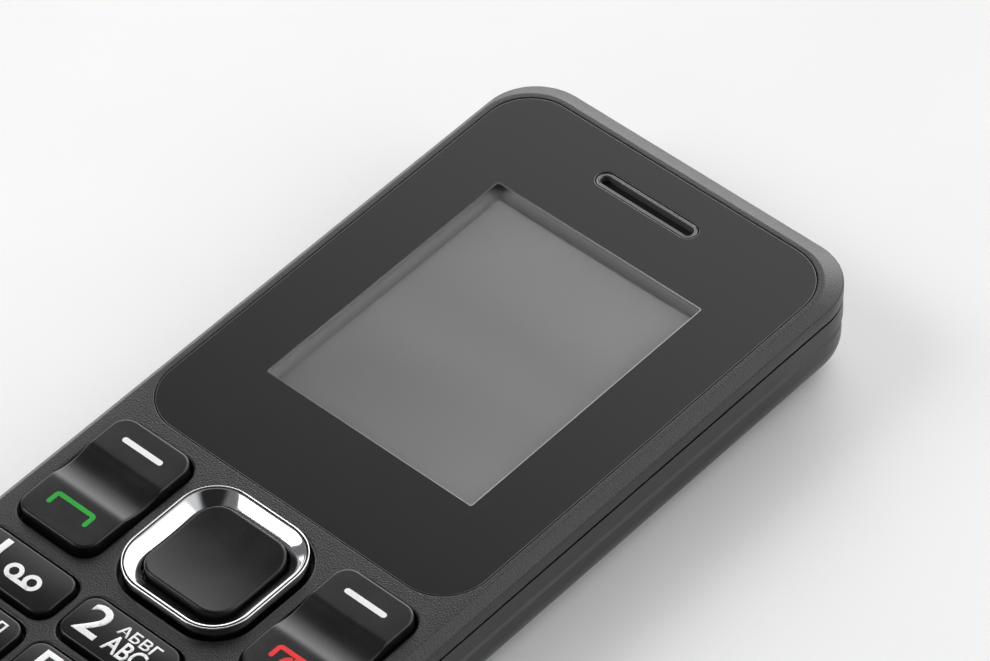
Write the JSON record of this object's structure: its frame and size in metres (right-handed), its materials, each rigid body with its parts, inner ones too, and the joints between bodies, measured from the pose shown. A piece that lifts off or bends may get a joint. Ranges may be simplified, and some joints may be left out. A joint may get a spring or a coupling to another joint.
{
  "type": "feature phone",
  "caption": "Bar-shaped feature phone with a small display under a flush lens, tilting navigation ring, rocker keys, number keys and a removable back cover.",
  "frame": {"origin": "middle of the bounding box at its lowest plane: the flat back of the phone lies at z = 0", "axes": "+Z out of the display, +Y along the phone towards the earpiece, +X to the right of the display"},
  "size_m": [0.048, 0.1202, 0.0133],
  "materials": {
    "housing": "fine spark texture, satin",
    "lens": "clear gloss plate",
    "print": "dark back print",
    "trim": "gloss",
    "mesh": "matte black",
    "foam": "foam",
    "sheet_metal": "brushed",
    "lcd": "grey anti-glare",
    "light_guide": "white",
    "flex": "amber film",
    "soft_keys": "satin",
    "chrome": "polished",
    "carrier": "matte",
    "number_keys": "semi gloss",
    "silicone": "matte",
    "dome_steel": "satin",
    "board": "green solder mask",
    "frame_plastic": "matte",
    "screw_steel": "zinc plated",
    "cover": "fine spark texture, satin",
    "battery": "foil wrap",
    "connector": "matte",
    "gold": "gold plated",
    "speaker": "matte black",
    "weight_metal": "sintered",
    "camera_glass": "polished",
    "copper": "copper sheet"
  },
  "bodies": {
    "phone": {"front_housing": "housing", "display_lens": "lens", "lens_mask": "print", "earpiece_trim": "trim", "earpiece_mesh": "mesh", "earpiece_gasket": "foam", "earpiece_receiver": "sheet_metal", "lcd_gasket": "foam", "lcd_bezel": "sheet_metal", "lcd_panel": "lcd", "lcd_backlight": "light_guide", "lcd_flex": "flex", "keypad_mat": "silicone", "key_domes": "dome_steel", "main_board": "board", "shield_cans": "sheet_metal", "chassis": "frame_plastic", "housing_screws": "screw_steel", "battery": "battery", "battery_connector": "connector", "battery_springs": "gold", "sim_sockets": "sheet_metal", "memory_card_socket": "sheet_metal", "usb_socket": "sheet_metal", "headset_jack": "connector", "microphone": "sheet_metal", "loudspeaker": "speaker", "loudspeaker_gasket": "foam", "vibration_motor": "sheet_metal", "camera_module": "connector", "antenna": "copper"},
    "left_rocker_key": {"left_rocker_key": "soft_keys"},
    "right_rocker_key": {"right_rocker_key": "soft_keys"},
    "nav_base": {"nav_base": "carrier"},
    "nav_ring": {"nav_ring": "chrome"},
    "nav_center_key": {"nav_center_key": "soft_keys"},
    "battery_cover": {"battery_cover": "cover", "camera_window": "camera_glass"},
    "vibration_weight": {"vibration_weight": "weight_metal"},
    "key_1": {"key_1": "number_keys"},
    "key_2": {"key_2": "number_keys"},
    "key_3": {"key_3": "number_keys"},
    "key_4": {"key_4": "number_keys"},
    "key_5": {"key_5": "number_keys"},
    "key_6": {"key_6": "number_keys"},
    "key_7": {"key_7": "number_keys"},
    "key_8": {"key_8": "number_keys"},
    "key_9": {"key_9": "number_keys"},
    "key_star": {"key_star": "number_keys"},
    "key_0": {"key_0": "number_keys"},
    "key_hash": {"key_hash": "number_keys"}
  },
  "joints": [
    {"name": "key_1_press", "type": "slide", "parent": "phone", "child": "key_1", "axis": [0, 0, -1], "range_m": [0, 0.00035], "stiffness_N_per_m": 400},
    {"name": "key_2_press", "type": "slide", "parent": "phone", "child": "key_2", "axis": [0, 0, -1], "range_m": [0, 0.00035], "stiffness_N_per_m": 400},
    {"name": "key_3_press", "type": "slide", "parent": "phone", "child": "key_3", "axis": [0, 0, -1], "range_m": [0, 0.00035], "stiffness_N_per_m": 400},
    {"name": "key_4_press", "type": "slide", "parent": "phone", "child": "key_4", "axis": [0, 0, -1], "range_m": [0, 0.00035], "stiffness_N_per_m": 400},
    {"name": "key_5_press", "type": "slide", "parent": "phone", "child": "key_5", "axis": [0, 0, -1], "range_m": [0, 0.00035], "stiffness_N_per_m": 400},
    {"name": "key_6_press", "type": "slide", "parent": "phone", "child": "key_6", "axis": [0, 0, -1], "range_m": [0, 0.00035], "stiffness_N_per_m": 400},
    {"name": "key_7_press", "type": "slide", "parent": "phone", "child": "key_7", "axis": [0, 0, -1], "range_m": [0, 0.00035], "stiffness_N_per_m": 400},
    {"name": "key_8_press", "type": "slide", "parent": "phone", "child": "key_8", "axis": [0, 0, -1], "range_m": [0, 0.00035], "stiffness_N_per_m": 400},
    {"name": "key_9_press", "type": "slide", "parent": "phone", "child": "key_9", "axis": [0, 0, -1], "range_m": [0, 0.00035], "stiffness_N_per_m": 400},
    {"name": "key_star_press", "type": "slide", "parent": "phone", "child": "key_star", "axis": [0, 0, -1], "range_m": [0, 0.00035], "stiffness_N_per_m": 400},
    {"name": "key_0_press", "type": "slide", "parent": "phone", "child": "key_0", "axis": [0, 0, -1], "range_m": [0, 0.00035], "stiffness_N_per_m": 400},
    {"name": "key_hash_press", "type": "slide", "parent": "phone", "child": "key_hash", "axis": [0, 0, -1], "range_m": [0, 0.00035], "stiffness_N_per_m": 400},
    {"name": "nav_center_key_press", "type": "slide", "parent": "phone", "child": "nav_center_key", "axis": [0, 0, -1], "range_m": [0, 0.00035], "stiffness_N_per_m": 400},
    {"name": "left_rocker_tilt", "type": "hinge", "parent": "phone", "child": "left_rocker_key", "pos_m": [-0.01565, -0.01438, 0.00978], "axis": [1, 0, 0], "range_deg": [-2, 2], "stiffness_Nm_per_rad": 0.02},
    {"name": "right_rocker_tilt", "type": "hinge", "parent": "phone", "child": "right_rocker_key", "pos_m": [0.01565, -0.01438, 0.00978], "axis": [1, 0, 0], "range_deg": [-2, 2], "stiffness_Nm_per_rad": 0.02},
    {"name": "nav_up_down", "type": "hinge", "parent": "phone", "child": "nav_base", "pos_m": [0, -0.01438, 0.00978], "axis": [1, 0, 0], "range_deg": [-2, 2], "stiffness_Nm_per_rad": 0.02},
    {"name": "nav_left_right", "type": "hinge", "parent": "nav_base", "child": "nav_ring", "pos_m": [0, -0.01438, 0.01076], "axis": [0, 1, 0], "range_deg": [-2, 2], "stiffness_Nm_per_rad": 0.02},
    {"name": "battery_cover_lift", "type": "slide", "parent": "phone", "child": "battery_cover", "axis": [0, 0, -1], "range_m": [0, 0.012]},
    {"name": "vibration_spin", "type": "hinge", "parent": "phone", "child": "vibration_weight", "pos_m": [0.0145, -0.04378, 0.00385], "axis": [1, 0, 0], "continuous": true}
  ]
}
